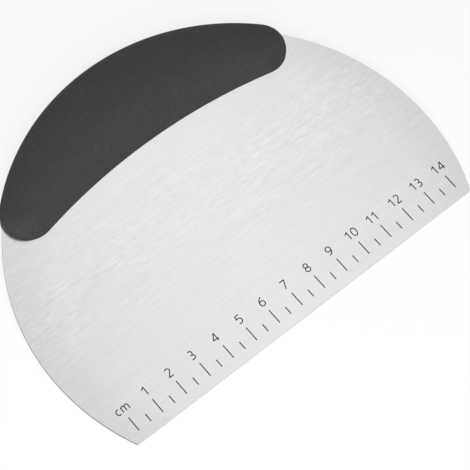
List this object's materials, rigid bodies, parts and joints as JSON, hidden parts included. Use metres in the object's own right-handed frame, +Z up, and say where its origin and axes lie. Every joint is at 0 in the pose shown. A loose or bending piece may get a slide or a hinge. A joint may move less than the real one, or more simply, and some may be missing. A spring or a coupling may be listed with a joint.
{
  "type": "dough scraper",
  "caption": "Half-round stainless dough scraper with a straight working edge and a soft crescent grip over a rigid core on its round edge.",
  "frame": {"origin": "on the bench, under the centre of the part's bounding box, as it lies face up on its straight edge and the back of its grip", "axes": "+X along the straight edge, towards the high end of the scale; +Y from the straight edge towards the grip; +Z up, out of the face that carries the scale, which leans 4.57 degrees from level"},
  "size_m": [0.162, 0.1172, 0.0171],
  "materials": {
    "blade_steel": "finely brushed along the straight edge, satin",
    "core_plastic": "moulded polypropylene, hidden under the grip",
    "grip_elastomer": "soft-touch, matt charcoal with a very fine moulded grain"
  },
  "bodies": {
    "root": {"blade": "blade_steel", "core_front": "core_plastic", "core_back": "core_plastic", "grip": "grip_elastomer"}
  },
  "joints": []
}
